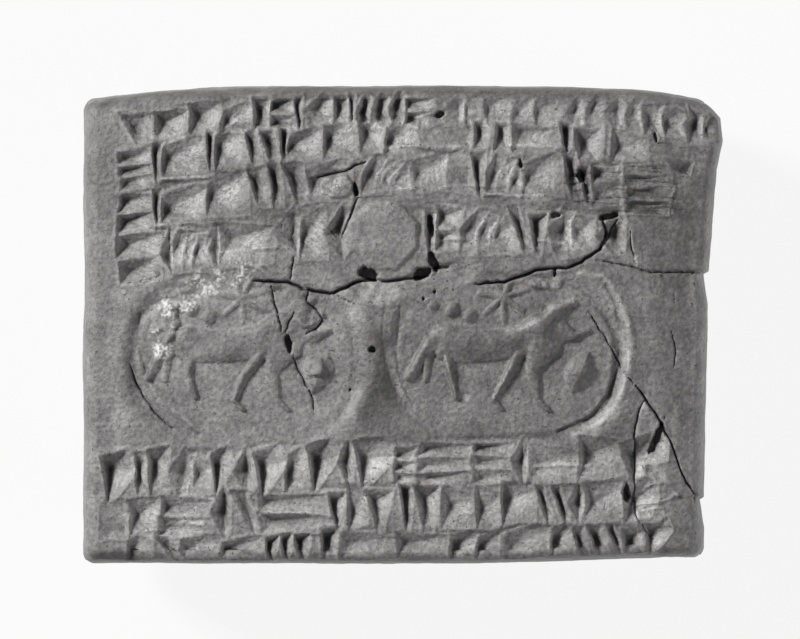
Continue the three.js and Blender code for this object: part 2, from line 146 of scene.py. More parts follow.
BACK_ROWS = [
    {"start": -20, "foot": 11.5, "fall": 1.0, "middle": 0, "tall": 3.4, "groups":
     "a3 v1.5 l5 t2.4 z4 .1 a3 s1.5 s1.5 h4 .2 v1.6 a3 e4"},
    {"start": -21, "foot": 7.2, "fall": 0.8, "middle": 0, "tall": 3.4, "groups":
     "z4 w3 a3 .1.5 l5 v1.5 v1.5 d2 c4 .3 h4 t2.4 p2"},
    {"start": -20.5, "foot": 3.0, "fall": 0.6, "middle": 0, "tall": 3.2, "groups":
     "v1.6 a3.2 h4 e4 .1 s1.4 s1.4 l5 a2.6"},
]
BACK_WEAR = 0.35           # how far wear has softened the strokes on the back

# ---------------------------------------------------------------- the seal

# The seal is pressed in twice. Its border runs round an oval floor.
SEALS = [
    {"centre": (-13.9, -3), "rim": 0.5, "right": 0, "figures": 1.2},
    {"centre": (9.0, -3), "rim": 0.75, "right": 0.35, "figures": 1.4},
]
SEAL_HALF = (10.4, 7.8)
SEAL_DEPTH = 0.3           # how far the floor lies below the face

# What stands up from the seal's floor, as chains of points: x, y, radius and height. The beast's
# first chain is its body, and the others are its ends and its limbs.
BEAST = [
    [(-4.9, 1.1, 1.4, 0.5), (-1.6, 1.1, 1.4, 0.5), (1.6, 1.5, 1.5, 0.5), (3.1, 2.2, 1.9, 0.6)],
    [(3.6, 2.2, 1.8, 0.6), (4.6, 4.2, 0.9, 0.5), (6.0, 5.0, 0.3, 0.3)],
    [(4.2, 2.6, 1.2, 0.5), (6.0, 1.9, 0.5, 0.4), (7.4, 2.4, 0.25, 0.3)],
    [(-5.0, 1.7, 1.2, 0.5), (-6.4, 1.3, 0.9, 0.5), (-7.4, 0.2, 0.55, 0.45), (-8.5, -1.6, 0.35, 0.35)],
    [(-5.0, 0.2, 0.5, 0.45), (-4.9, -1.2, 0.32, 0.45), (-4.3, -3.4, 0.22, 0.35)],
    [(-6.8, 0.2, 0.4, 0.3), (-7.0, -1.8, 0.25, 0.2)],
    [(1.2, 0.3, 0.5, 0.45), (0.1, -1.4, 0.34, 0.45), (-1.0, -3.5, 0.22, 0.4), (-0.3, -4.3, 0.22, 0.3)],
    [(3.3, 1.0, 1.7, 0.55), (2.4, -1.1, 0.6, 0.4), (2.9, -3.6, 0.26, 0.3), (3.8, -4.5, 0.22, 0.25)],
]
FIGURE_PAINTED_SHADE = 0.16         # painted shade: how much darker the raised figures are
RIM_PAINTED_LIGHT = 0.2            # painted light: how much paler the wall is on the right, where it faces the key lamp
RIM_TURN = 0.15            # where the rim is strongest, in radians below its right end
RIM_FADE = 0.6             # how much weaker the rim is at the top and the foot
RIM_PATCHES = 0.3          # how unevenly the rim is pressed
RIM_STRENGTHS = (0.1, 1.5)
WALL_RUNS = (0.4, 1.8)     # how far the wall runs out, where the rim is strong and where it is weak
SEAL_STRAY = 0.7           # how much of the hand's stray the oval takes
SEAL_REACH = 1.25          # how far a seal changes the clay, in half lengths and half widths
RIM_PLACES = [-1.7, -1.35, -1.1, -0.85, -0.6, -0.45, 0.35, 0.8, 2.0]   # outwards from the oval
RIM_HEIGHTS = [0, 0.1, 0.08, -0.12, -0.2, -0.16, 0.26, 0.28, 0]
SEAL_FULLNESS = 2.4        # 2 is an oval, and more is nearer a rectangle
SEAL_LEAN = 0.4            # how much higher the figures stand on their upper left side
STAR = {"centre": (-0.2, 5.4), "rays": 7, "length": 2.1, "radius": 0.26, "rise": 0.32}
BLOBS = [(-4.7, 4.2, 0.55, 0.3), (-3.1, 3.6, 0.6, 0.3), (2.6, 6.6, 0.6, 0.3), (-6.4, 4.6, 0.4, 0.25)]
LOZENGE = {"tips": [(7.3, 0.7), (5.8, -3.1)], "half_width": 1.35, "rise": 0.6}

# ---------------------------------------------------------------- breaks and losses

# Each crack as its width, its depth, how much higher its left side stands, and its points.
CRACKS = [
    (0.24, 1.1, 0.12, [(-13.2, 3.9), (-10, 3.7), (-8.9, 3.2), (-6.3, 2.7), (-4.5, 3.6), (-3.4, 3.9),
                       (-1.4, 3.9), (0.9, 4.1), (2.2, 4.3)]),
    (0.22, 1.0, 0.1, [(6.3, 3.6), (9, 3.8), (11.5, 4.8), (14.5, 5.05), (16, 5.8), (17.4, 6.8),
                      (17.8, 8), (17.5, 9.6)]),
    (0.14, 0.6, 0, [(16.9, 5.7), (18.5, 5.4), (20, 5.1), (21.6, 4.65), (24, 4.6), (28.5, 4.6)]),
    (0.12, 0.5, 0, [(18.9, 9.4), (18.3, 8.6), (18, 7.6), (17.5, 6.9)]),
    (0.12, 0.5, 0, [(19.9, 8.4), (20.1, 6.5), (20.5, 5.2)]),
    (0.14, 0.6, 0, [(-9.6, 6), (-9.8, 4.8), (-10, 3.8)]),
    (0.12, 0.6, 0, [(-11.7, 3.7), (-11.4, 2), (-10.9, 0.6), (-10.7, -0.6)]),
    (0.12, 0.6, 0, [(-9.6, 1.1), (-10, 0.2), (-10.4, -0.7)]),
    (0.12, 0.5, 0, [(-9.7, -2.6), (-9.3, -3.8), (-8.7, -5), (-8, -6.4), (-7.8, -8)]),
    (0.14, 0.6, 0, [(-8.3, 3.2), (-8.5, 2), (-7.4, 1.1), (-7.1, 0.5), (-7.6, -0.3), (-8.6, -0.8)]),
    (0.1, 0.4, 0, [(-6.3, 2.7), (-5, 2.2), (-4, 1.7)]),
    (0.12, 0.5, 0.05, [(16.2, 1.2), (17.6, -0.9), (18.5, -2.5), (19.2, -3.8), (20.4, -5.3)]),
    (0.2, 0.8, 0.05, [(20.4, -5.3), (21.3, -6.6), (22.3, -7.9), (23.2, -9.6), (24.2, -11), (25.3, -13),
                      (26.4, -14.2), (28.2, -15.8)]),
    (0.14, 0.6, 0, [(21.2, -6.6), (20.6, -7.6), (20.3, -9.7), (20.4, -12.5), (20.3, -15), (20.3, -16.5),
                    (20.8, -17.9)]),
    (0.14, 0.5, 0, [(21, -18), (21.4, -18.8), (22, -19.4)]),
    (0.12, 0.5, 0, [(23.9, -0.6), (24.3, -1.9), (24.4, -2.6), (24.1, -3.8)]),
    (0.1, 0.4, 0, [(24.2, 2.7), (24.2, 1.9)]),
    (0.18, 0.7, 0.1, [(-7.6, 13), (-6.6, 13.2), (-5, 13.6), (-4.2, 14), (-3.3, 14.3)]),
    (0.16, 0.7, 0, [(-4, 11.2), (-4.6, 9.8), (-5, 8.8), (-5.4, 7.6)]),
    (0.1, 0.4, 0, [(-7, 8.9), (-6.3, 8.2), (-5.8, 7.6)]),
    (0.12, 0.4, 0, [(-24.2, 3.7), (-22.5, 3.9), (-21.4, 4.4)]),
    (0.1, 0.2, 0, [(22, 16.5), (24, 16.2), (26.8, 15.7)]),
    (0.1, 0.2, 0, [(20.5, -16.1), (22.5, -15.8), (25, -15.3)]),
    (0.1, 0.2, 0, [(19.5, 12.4), (21.5, 12.5), (24, 12.2)]),
    (0.1, 0.15, 0, [(-9.1, 9.7), (-9.9, 7.6), (-8.9, 5.9)]),
    (0.16, 0.5, 0, [(-24.1, -3.4), (-23.6, -5), (-22.8, -6.4), (-21.6, -8), (-20.2, -9.2)]),
]

# Holes with broken edges: x, y, half length, half width, turn in degrees, depth.
HOLES = [
    (1.6, 4.5, 1.0, 0.55, 20, 1.8), (2.6, 5.6, 0.4, 0.95, 20, 1.5), (3.3, 5.05, 0.8, 0.2, 8, 1.0),
    (-3.1, 4.45, 0.85, 0.5, -25, 1.7), (18.1, 9.6, 1.0, 0.3, 15, 1.3), (-4.2, 11.9, 0.22, 0.55, 12, 1.2),
    (-2.7, -2.2, 0.32, 0.28, 0, 0.9), (-4.7, -5.7, 0.18, 0.15, 0, 0.5), (1.75, 2.3, 0.12, 0.25, 0, 0.6),
    (2.7, 2.9, 0.16, 0.2, 0, 0.5), (3.2, 18.5, 0.45, 0.25, 15, 1.0), (-10.1, -1.6, 0.3, 0.8, 10, 1.3),
    (22.2, -10.2, 0.3, 1.8, -24, 1.2), (19.6, -15.1, 0.3, 0.85, 0, 1.3), (13.3, 4.6, 0.15, 0.4, 0, 0.8),
    (2.4, 8.7, 0.28, 1.0, 8, 1.0), (13.4, 9.7, 0.5, 0.25, 10, 1.0), (15.6, 13.1, 0.35, 0.7, 15, 1.1),
    (22.2, 17, 0.15, 0.45, 12, 0.7), (10.3, 14.2, 0.15, 0.35, 10, 0.9),
]

# Strokes outside the rows, in millimetres.
LONE_STROKES = [
    (1.0, (22.0, -11.0), [(22.8, -8.4), (23.6, -9.6), (23.4, -12), (21.2, -12.4)]),
    (0.6, (21.5, -12.8), [(20.9, -12.2), (22, -12), (23.7, -14), (21.3, -13.6)]),
    (0.9, (20.7, -15.3), [(20.4, -13.9), (21.9, -13.4), (22.5, -15.8), (20.5, -16.5)]),
    (0.5, (21.1, -18.4), [(20.6, -17), (22.8, -16.7), (23.2, -19.2), (20.9, -19.8)]),
    (0.6, (25.2, 13.9), [(23.2, 14.9), (25.9, 15), (25.6, 13.7), (24, 13.9)]),
    (0.4, (21.7, 11.6), [(19.7, 12.2), (23.8, 12.1), (23.6, 11.5), (19.8, 11.5)]),
    (0.5, (22.2, 10.1), [(19.7, 11), (23.6, 11), (23.4, 9.9), (20, 10)]),
]

# The raised lump in the fourth row is nearly an octagon: x, y, half width, height.
LUMP = (-1.7, 7.9, 2.9, 0.3)

# Bare or broken patches: x, y, half length, half width, height, and how much paler the break is.
PATCHES = [
    (-2.4, 3.0, 1.9, 1.2, -0.16, 0.4), (3.9, 4.6, 2.2, 0.9, -0.16, 0.15), (-8.3, 0.6, 1.2, 0.9, 0.35, 0),
    (-7.8, -3.6, 0.9, 0.9, 0.35, 0), (-20.6, 3.3, 2.2, 0.9, 0.15, 0.1), (-21, 0.2, 1.1, 1.7, 0.35, 0),
    (10.5, 5.6, 5.5, 1.3, 0.15, 0), (5.4, -6.3, 0.5, 0.35, -0.1, 0.2), (12, 3.6, 0.7, 0.5, 0.2, 0.25),
    (13.5, 3.7, 0.4, 0.5, 0.15, 0.15), (20.8, -6.9, 0.6, 0.6, -0.12, 0.3), (-5.9, 12.2, 1.6, 0.9, 0.3, -0.05),
]

# Where the surface is darker or paler: x, y, half length, half width, change of tone. Some are stains,
# and some are painted shade and painted light: the darker right margin and seal beasts, the dark lower
# left corner and the paler right edge.
STAINS_AND_PAINTED_SHADING = [
    (0, 21.2, 34, 1.6, -0.35), (23.8, 8.5, 3.6, 6, -0.2), (-2.6, -4.5, 1.7, 5.5, -0.45),
    (1.5, -20.9, 32, 0.7, -0.1), (27.9, -4, 1.4, 17, 0.16), (24.6, -3, 2.6, 7, -0.16),
    (5, -10.2, 17, 1.3, -0.14), (-27.5, 15, 2.5, 5, -0.16), (22, -6, 3, 6, 0.1),
    (-13.5, -2.5, 9, 6.5, 0.16), (0.8, 2.6, 2.6, 1.6, 0.1), (-2, -14, 25, 4.6, 0.12),
    (-13, 12.2, 12, 6.5, -0.13), (21.8, -15, 2.4, 4.6, 0.25), (25.5, 9, 2.2, 7, -0.08),
    (-24.4, 2.9, 1.0, 0.9, 0.14), (24.4, -8.9, 0.6, 1.8, 0.3), (-25.0, -8.6, 0.7, 2.6, 0.25),
    (-25.5, -20.6, 2.5, 0.8, -0.5), (21.8, 11.7, 2.6, 0.35, -0.3), (21.8, 10.4, 2.4, 0.6, -0.35),
    (18, 12, 5, 2.8, -0.3), (-13.5, -2.2, 2.6, 1.5, -0.08), (12.6, -1.4, 1.5, 2.6, -0.12),
    (24.7, 14.3, 1.4, 0.7, -0.3), (7, -1.6, 2.6, 1.5, -0.08),
]

# A white crust in specks: x, y, half length, half width, turn in degrees.
CRUSTS = [
    (-21.1, 0.3, 1.2, 2.2, 0), (-16.3, 4.0, 3.6, 1.2, 20), (-21.2, -2.2, 0.9, 0.8, 0),
    (-19.4, 1.6, 1.6, 0.6, 10),
]
CRUST_RISE = 0.06

# An old mend shows as a thin pale line of glue.
GLUE = [(19.3, 15), (19.1, 12), (19.3, 10.3), (19.9, 8.5), (20.1, 6.5), (20.5, 5.2)]
GLUE_LINE = {"half_width": 0.24, "rise": 0.05, "paler": 0.45}

# Thin ridges that the stylus pushed up along the feet of some strokes, each paler along its crest as a
# painted highlight.
RIDGES = [
    [(-1.6, 15.6), (1.5, 15.75), (4.9, 15.7)], [(9.4, 15.8), (11.5, 15.8), (14, 15.6)],
    [(3.3, 12.1), (5, 12.3), (7.1, 12.2)], [(7.2, 11.5), (9.5, 11.3), (12.5, 11.35)],
    [(-3.4, 11.6), (-1.2, 11.9), (1, 12)], [(-21.2, 13), (-19, 13.15), (-17.2, 13.05)],
    [(-21.6, 8.8), (-20, 8.5), (-18.3, 8.4)], [(2.6, 7.3), (4, 7.6), (5.3, 7.6)],
    [(11.8, 7.5), (13.5, 7.2), (15.5, 7.1)], [(-16.3, 6.4), (-13.5, 6.6), (-11, 6.9)],
    [(20.4, -16.2), (22.5, -15.9), (25, -15.3)], [(11.6, -12.5), (14, -12.4), (16.4, -12.5)],
    [(-20.7, -17.6), (-19, -17.4), (-17.6, -17.5)], [(-12.5, -16.6), (-9, -16.5), (-6.4, -16.8)],
]
RIDGE_LINE = {"half_width": 0.32, "rise": 0.26, "paler": 0.5}

# Sharp lines of the seals: their points, half width, rise, and how much paler they are, which is a painted
# highlight on a ridge and painted shade in a groove. A groove has a rise below 0.
SEAL_LINES = [
    ([(15.6, 4.5), (17.6, 4.2), (18.9, 2.8), (19.7, 0.6), (20, -1.8), (19.8, -4.2), (18.9, -6.5),
      (17.3, -8.4), (15.2, -9.6)], 0.55, 0.3, 0.6),
    ([(17.8, 3.5), (18.7, 1.5), (19.1, -0.8), (19, -3.6), (18.1, -6.1), (16.4, -8.2),
      (13.6, -9.4)], 0.28, -0.22, -0.4),
    ([(-1.7, 1.4), (-1.9, -0.8), (-1.6, -3), (-1.1, -5), (-0.5, -6)], 0.2, -0.12, -0.25),
    ([(-1, 1.2), (-1.2, -0.8), (-1.1, -3), (-0.6, -4.9), (0.1, -6.2)], 0.4, 0.12, 0.22),
    ([(-0.3, 1.5), (-0.5, -1), (-0.6, -3), (-0.2, -5), (0.9, -7.2)], 0.2, -0.12, -0.25),
    ([(9.2, -0.6), (11, -0.1), (12.3, 0.7), (13, 1.5), (14.9, 2)], 0.5, 0.14, 0.75),
    ([(0.7, -4.6), (1.3, -3), (2.1, -1.4), (3.1, -0.2)], 0.35, 0.1, 0.4),
    ([(3.7, -2.8), (4, -4), (4.5, -5.8)], 0.2, 0.08, 0.4),
    ([(9.5, -3.6), (8.7, -5), (7.9, -6.4)], 0.25, 0.08, 0.45),
    ([(3.4, 0.1), (6, 0), (9, -0.4)], 0.25, 0.05, 0.2),
    ([(14.4, -5.6), (14.3, -4.2), (14.9, -3.4)], 0.3, 0.06, 0.35),
    ([(-23.2, 1), (-23.3, -2), (-22.2, -5), (-20.4, -7.6), (-18, -9.6)], 0.25, -0.14, -0.25),
    ([(-22, -5.6), (-20.6, -7.4), (-18.4, -9)], 0.4, 0.14, 0.3),
    ([(-4.6, 1), (-4.2, -1.5), (-4.2, -4), (-4.9, -6.4)], 0.3, 0.1, 0.2),
]

# Level scratches over the most worn part, which start between two corners.
SCRATCHES = {"count": 34, "low": (13.8, 9.6), "high": (21.5, 14.6)}

# Where the strokes are worn: x, y, half length, half width, and how much of their depth is gone.
WORN = [(22, 12.5, 5.5, 5, 0.35), (13.5, 19.2, 13, 1.9, 0.55)]
WORN_LEVEL = 0.15          # how far below the face the worn clay lies
WEAR_REACH = 0.06          # over how much clay a crest is worn level
WEAR_LEFT = 0.015          # how far a crest still stands up

# The tone of bare clay, how much paler it is where it was pressed, partly for the smoother pressed clay and
# partly as painted light on the facets, how much paler on crests, as painted light, and how much darker in
# hollows, as painted shade. The clay counts as a full crest or hollow this far above or below its
# surroundings.
TONE = {"bare": 0.4, "pressed": 0.36, "crest": 0.18, "hollow": 0.3}
SURROUNDINGS = 0.45        # how far round a point they reach
FULL_CREST = 0.2
FULL_HOLLOW = 0.3

# ---------------------------------------------------------------- how fine the mesh is

DETAIL = "full"
RELIEF_STEP = {"full": 0.06, "quick": 0.12}
MESH_SPACING = {"full": 0.1, "quick": 0.22}
MOST_TRIANGLES = {"full": 190_000, "quick": 60_000}

# ---------------------------------------------------------------- colours and studio

# The dark clay serves dirt and pores and also painted shade, and the pale clay breaks and stains and also
# painted light.
DIRTY_AND_SHADED_CLAY = (0.1, 0.097, 0.095, 1)
CLAY = (0.225, 0.218, 0.216, 1)
PALE_CLAY = (0.4, 0.39, 0.387, 1)
CRUST = (0.7, 0.69, 0.68, 1)
SMOOTHED = (0.45, 0.45, 0.45, 1)       # the roughness of clay that the stylus smoothed
GRAIN_HEIGHT = 0.00012     # in metres

CAMERA_HEIGHT = 600.0      # above the face
FRAME_WIDTH = 70.2         # how much the picture takes in, across the face
AIM = (-0.3, 0.48)
SENSOR = 36.0
FLOOR_HALF = 2.0           # in metres
FLOOR_GREY = (0.06, 0.06, 0.06, 1)
FLOOR_GLOW = 0.89          # the floor's own light, which keeps it pale and its shadows soft
WORLD_LIGHT = 0.11

# ---------------------------------------------------------------- tools for heights


def smoothstep(value, low, high):
    share = np.clip((value - low) / (high - low), 0, 1)
    return share * share * (3 - 2 * share)


class Sheet:
    """Heights and finish over the unrolled clay: s runs along the rows and t across them."""

    def __init__(self, half_s, half_t, step):
        self.s = np.arange(-half_s, half_s, step)
        self.t = np.arange(-half_t, half_t, step)
        self.step = step
        shape = (self.t.size, self.s.size)
        self.height = np.zeros(shape)
        self.tone = np.full(shape, 0.5)      # 0 is dark with dirt and painted shade, 1 is pale with breaks and painted light
        self.polish = np.zeros(shape)        # 1 where the stylus left the clay smooth
        self.crust = np.zeros(shape)         # 1 under a white deposit
        self.stray_s = 0.16 * self.clouds(2.2, 61) + 0.05 * self.clouds(0.6, 62)
        self.stray_t = 0.16 * self.clouds(2.2, 63) + 0.05 * self.clouds(0.6, 64)

    def window(self, low, high):
        """The part between two corners: its slices, and its s and t."""
        rows = slice(*np.searchsorted(self.t, (low[1], high[1])))
        columns = slice(*np.searchsorted(self.s, (low[0], high[0])))
        return (rows, columns), self.s[None, columns], self.t[rows, None]

    def clouds(self, size, seed):
        """Smooth noise from -1 to 1, with lumps of about a size."""
        columns = (self.s - self.s[0]) / size
        rows = (self.t - self.t[0]) / size
        shape = (int(rows[-1]) + 2, int(columns[-1]) + 2)
        corners = np.random.default_rng(seed).uniform(-1, 1, shape)
        i, j = rows.astype(int), columns.astype(int)
        down = smoothstep(rows - i, 0, 1)[:, None]
        across = smoothstep(columns - j, 0, 1)[None, :]
        upper = corners[i][:, j] * (1 - across) + corners[i][:, j + 1] * across
        lower = corners[i + 1][:, j] * (1 - across) + corners[i + 1][:, j + 1] * across
        return upper * (1 - down) + lower * down

    def rough(self, size, seed, octaves=3):
        """Clouds with finer clouds on them."""
        return sum(self.clouds(size / 2**n, seed + n) / 2**n for n in range(octaves))

    def unsettle(self, unevenness):
        """Makes the clay uneven, and gives a copy of its heights from before anything is pressed in."""
        self.height += sum(height * self.rough(size, seed) for height, size, seed in unevenness)
        return self.height.copy()

    def at(self, s, t, layer):
        """A layer's values at points, between the sheet's own."""
        column = np.clip((s - self.s[0]) / self.step, 0, self.s.size - 1.001)
        row = np.clip((t - self.t[0]) / self.step, 0, self.t.size - 1.001)
        j, i = column.astype(int), row.astype(int)
        across, down = column - j, row - i
        upper = layer[i, j] * (1 - across) + layer[i, j + 1] * across
        lower = layer[i + 1, j] * (1 - across) + layer[i + 1, j + 1] * across
        return upper * (1 - down) + lower * down

    def blurred(self, reach):
        """The heights averaged over a reach each way, twice, which is nearly a bell curve."""
        steps = max(1, round(reach / self.step))
        heights = self.height
        for axis in (0, 1, 0, 1):
            padded = np.pad(heights, [(steps + 1, steps) if axis == n else (0, 0) for n in (0, 1)], "edge")
            total = np.cumsum(padded, axis)
            width = 2 * steps + 1
            ahead = np.take(total, range(width, total.shape[axis]), axis)
            heights = (ahead - np.take(total, range(heights.shape[axis]), axis)) / width
        return heights


def oval(s, t, centre, half, turn=0.0):
    """1 on an oval's edge, less inside and more outside."""
    angle = math.radians(turn)
    ds, dt = s - centre[0], t - centre[1]
    along = ds * math.cos(angle) + dt * math.sin(angle)
    across = dt * math.cos(angle) - ds * math.sin(angle)
    return np.hypot(along / half[0], across / half[1])


def from_segment(s, t, start, end):
    """Distance to a segment, the share of the way along it, and the side, positive on its left."""
    run = np.subtract(end, start)
    length = np.hypot(*run)
    ds, dt = s - start[0], t - start[1]
    share = np.clip((ds * run[0] + dt * run[1]) / length**2, 0, 1)
    distance = np.hypot(ds - share * run[0], dt - share * run[1])
    return distance, share, np.sign(run[0] * dt - run[1] * ds)


# ---------------------------------------------------------------- strokes


def press_stroke(sheet, ground, depth, deepest, corners):
    """Presses an upturned pyramid: at each point, the wall that has come down least sets the depth."""
    points = np.array(corners)
    where, s, t = sheet.window(points.min(0) - HAND_STRAY, points.max(0) + HAND_STRAY)
    s = s + sheet.stray_s[where]
    t = t + sheet.stray_t[where]
    share = np.ones(s.shape)
    outside = np.full(s.shape, -9.0)
    for start, end in zip(points, np.roll(points, -1, 0)):
        run = (end - start) / np.hypot(*(end - start))
        reach = run[1] * (deepest[0] - start[0]) - run[0] * (deepest[1] - start[1])
        inside = run[1] * (s - start[0]) - run[0] * (t - start[1])
        outside = np.maximum(outside, -inside)
        inside = np.maximum(inside, 0)
        share = np.minimum(share, inside * inside / (inside + WORN_RIM * reach) / (reach - WORN_RIM * reach))
    pressed = ground[where] - depth * share
    lip = LIP * np.exp(-(((outside - LIP_PLACE) / LIP_WIDTH) ** 2))
    sheet.height[where] = np.minimum(sheet.height[where] + lip, pressed + (outside > 0) * LIP)


def press_row(sheet, ground, row, rng):
    """Presses one row of stroke groups."""
    x = row["start"]
    for group in row["groups"].split():
        width = float(group[1:])
        tall = row["tall"] * rng.uniform(*TALL_RANGE)
        foot = foot_line(row, x + width / 2) + rng.uniform(*FOOT_RANGE)
        for depth, deepest, corners in STROKES.get(group[0], []):
            shares = np.array([deepest, *corners])
            shares += rng.uniform(-SHARE_STRAY, SHARE_STRAY, shares.shape)
            ends = shares * (width, tall) + (x, foot)
            press_stroke(sheet, ground, PRESSURE * depth * rng.uniform(*DEPTH_RANGE), ends[0], ends[1:])
        x += width


def foot_line(row, x):
    return row["foot"] - row["fall"] * ((x - row["middle"]) / ARCH_SPAN) ** 2


def press_bench(sheet, row, seed):
    """Sinks a row's clay under its head line, so that it rises to its foot line."""
    end = row["start"] + sum(float(group[1:]) for group in row["groups"].split())
    low = (row["start"] - 1, row["foot"] - row["fall"] - 1)
    high = (end + 1, row["foot"] + row["tall"] + 1)
    where, s, t = sheet.window(low, high)
    share = (t + 2 * sheet.stray_t[where] - foot_line(row, s)) / row["tall"]
    within = smoothstep(s, row["start"] - 0.6, row["start"] + 0.2) * smoothstep(-s, -end - 0.3, -end + 0.6)
    uneven = 0.55 + 0.45 * sheet.clouds(3.0, seed)[where]
    profile = np.interp(share, *zip(*BENCH_PROFILE))
    sheet.height[where] += BENCH * profile * within * uneven


# ---------------------------------------------------------------- the seal's impressions


def raise_chain(floor, s, t, chain):
    """Raises a chain of rounded bars from the floor, each highest on its upper left side."""
    for (x0, y0, r0, h0), (x1, y1, r1, h1) in zip(chain, chain[1:]):
        distance, share, _ = from_segment(s, t, (x0, y0), (x1, y1))
        radius = r0 + (r1 - r0) * share
        rise = h0 + (h1 - h0) * share
        to_lower_right = ((s - x0 - share * (x1 - x0)) - (t - y0 - share * (y1 - y0))) / (1.41 * radius)
        round_top = np.clip(1 - (distance / radius) ** 2, 0, 1) ** 0.45
        np.maximum(floor, rise * round_top * (1 - SEAL_LEAN * to_lower_right), out=floor)


def raise_lozenge(floor, s, t):
    """Raises a leaf with a blunt ridge along it."""
    middle = np.mean(LOZENGE["tips"], 0)
    run = np.subtract(*LOZENGE["tips"])
    length = np.hypot(*run)
    run = run / length
    along = ((s - middle[0]) * run[0] + (t - middle[1]) * run[1]) / (length / 2)
    across = ((s - middle[0]) * run[1] - (t - middle[1]) * run[0]) / LOZENGE["half_width"]
    inside = 1 - along**2 - np.abs(across)
    np.maximum(floor, LOZENGE["rise"] * np.clip(inside, 0, 1) ** 0.7, out=floor)


def seal_figures(s, t):
    """The heights of the seal's beast, star, blobs and lozenge over its floor."""
    figures = np.zeros(np.broadcast_shapes(s.shape, t.shape))
    for chain in BEAST:
        raise_chain(figures, s, t, chain)
    for ray in range(STAR["rays"]):
        angle = 2 * math.pi * ray / STAR["rays"] + 0.3
        x, y = STAR["centre"]
        tip = (x + STAR["length"] * math.cos(angle), y + STAR["length"] * math.sin(angle))
        raise_chain(figures, s, t, [(x, y, STAR["radius"], STAR["rise"]), (*tip, STAR["radius"], 0.15)])
    for x, y, radius, rise in BLOBS:
        raise_chain(figures, s, t, [(x, y, radius, rise), (x + 0.1, y + 0.2, radius, rise)])
    raise_lozenge(figures, s, t)
    return figures


def press_seal(sheet, seal):
    """Presses the seal in: an oval floor, a border ridge and groove, and a wall up to the clay."""
    low = np.subtract(seal["centre"], np.multiply(SEAL_HALF, SEAL_REACH))
    high = np.add(seal["centre"], np.multiply(SEAL_HALF, SEAL_REACH))
    where, s, t = sheet.window(low, high)
    s = s - seal["centre"][0] + SEAL_STRAY * sheet.stray_s[where]
    t = t - seal["centre"][1] + SEAL_STRAY * sheet.stray_t[where]
    across, up = np.abs(s) / SEAL_HALF[0], np.abs(t) / SEAL_HALF[1]
    within = across**SEAL_FULLNESS + up**SEAL_FULLNESS
    power = SEAL_FULLNESS - 1
    steepness = SEAL_FULLNESS * np.hypot(across**power / SEAL_HALF[0], up**power / SEAL_HALF[1])
    outward = (within - 1) / np.maximum(steepness, 0.04)
    turn = np.arctan2(t / SEAL_HALF[1], s / SEAL_HALF[0])
    strength = seal["rim"] + seal["right"] * np.cos(turn + RIM_TURN) - RIM_FADE * np.sin(turn) ** 2
    strength = np.clip(strength + RIM_PATCHES * sheet.clouds(4, 71)[where], *RIM_STRENGTHS)
    rim = np.interp(outward, RIM_PLACES, RIM_HEIGHTS)
    run = np.clip(0.5 / strength, *WALL_RUNS)
    floor = -SEAL_DEPTH * smoothstep((-outward - 0.1) / run, -1, 1)
    figures = seal["figures"] * seal_figures(s, t) * smoothstep(-outward, 0.6, 1.4)
    sheet.height[where] += floor + strength * rim + figures * (0.75 + 0.25 * sheet.clouds(1.3, 72)[where])
    # Painted shade on the seal's raised figures.
    sheet.tone[where] -= FIGURE_PAINTED_SHADE * np.clip(figures / 0.4, 0, 1)
    # Painted light on the right side of the seal's wall, which faces the key lamp.
    wall = smoothstep(outward, -0.5, 0) * smoothstep(-outward, -1.1, -0.8)
    sheet.tone[where] += RIM_PAINTED_LIGHT * wall * smoothstep(np.cos(turn), 0.2, 0.8)


# ---------------------------------------------------------------- breaks


def wander(points, spacing, stray, rng):
    """A crack's line with smaller turns between its points."""
    points = np.array(points, float)
    runs = np.hypot(*np.diff(points, axis=0).T)
    along = np.concatenate([[0], np.cumsum(runs)])
    count = max(2, round(along[-1] / spacing) + 1)
    steps = np.linspace(0, along[-1], count)
    line = np.stack([np.interp(steps, along, points[:, axis]) for axis in (0, 1)], 1)
    line[1:-1] += rng.uniform(-stray, stray, (count - 2, 2))
    return line


def cut_crack(sheet, width, depth, step_up, points, rng):
    """Cuts a crack with steep walls, and lifts the clay on its left."""
    line = wander(points, 0.5, 0.07, rng)
    reach = 1.6 if step_up else width
    where, s, t = sheet.window(line.min(0) - reach, line.max(0) + reach)
    nearest = np.full(np.broadcast_shapes(s.shape, t.shape), 9.0)
    side = np.zeros(nearest.shape)
    for start, end in zip(line, line[1:]):
        distance, _, left = from_segment(s, t, start, end)
        closer = distance < nearest
        nearest = np.where(closer, distance, nearest)
        side = np.where(closer, left, side)
    ends = np.minimum(np.hypot(s - line[0, 0], t - line[0, 1]), np.hypot(s - line[-1, 0], t - line[-1, 1]))
    opening = width * (0.35 + 0.65 * smoothstep(ends, 0, 1.2)) / 2
    sheet.height[where] += step_up * np.maximum(side, 0) * smoothstep(-nearest, -reach, 0)
    sheet.height[where] -= depth * np.clip(1.3 - nearest / opening, 0, 1) ** 0.7


def break_hole(sheet, x, y, half_length, half_width, turn, depth, seed):
    """Breaks out a hole with a ragged edge and steep walls."""
    reach = 1.5 * max(half_length, half_width)
    where, s, t = sheet.window((x - reach, y - reach), (x + reach, y + reach))
    ragged = 0.3 * sheet.clouds(0.3, seed)[where]
    edge = oval(s, t, (x, y), (half_length, half_width), turn) + ragged
    sheet.height[where] -= depth * smoothstep(-edge, -1.1, -0.75)


def raise_patch(sheet, x, y, half_length, half_width, height, paler, seed):
    """Raises or sinks a patch with an uneven edge."""
    reach = (2 * half_length, 2 * half_width)
    where, s, t = sheet.window(np.subtract((x, y), reach), np.add((x, y), reach))
    edge = oval(s, t, (x, y), (half_length, half_width)) + 0.25 * sheet.clouds(0.9, seed)[where]
    within = smoothstep(-edge, -1.15, -0.8)
    sheet.height[where] += within * (height + 0.4 * abs(height) * sheet.clouds(0.5, seed + 1)[where])
    sheet.tone[where] += paler * within


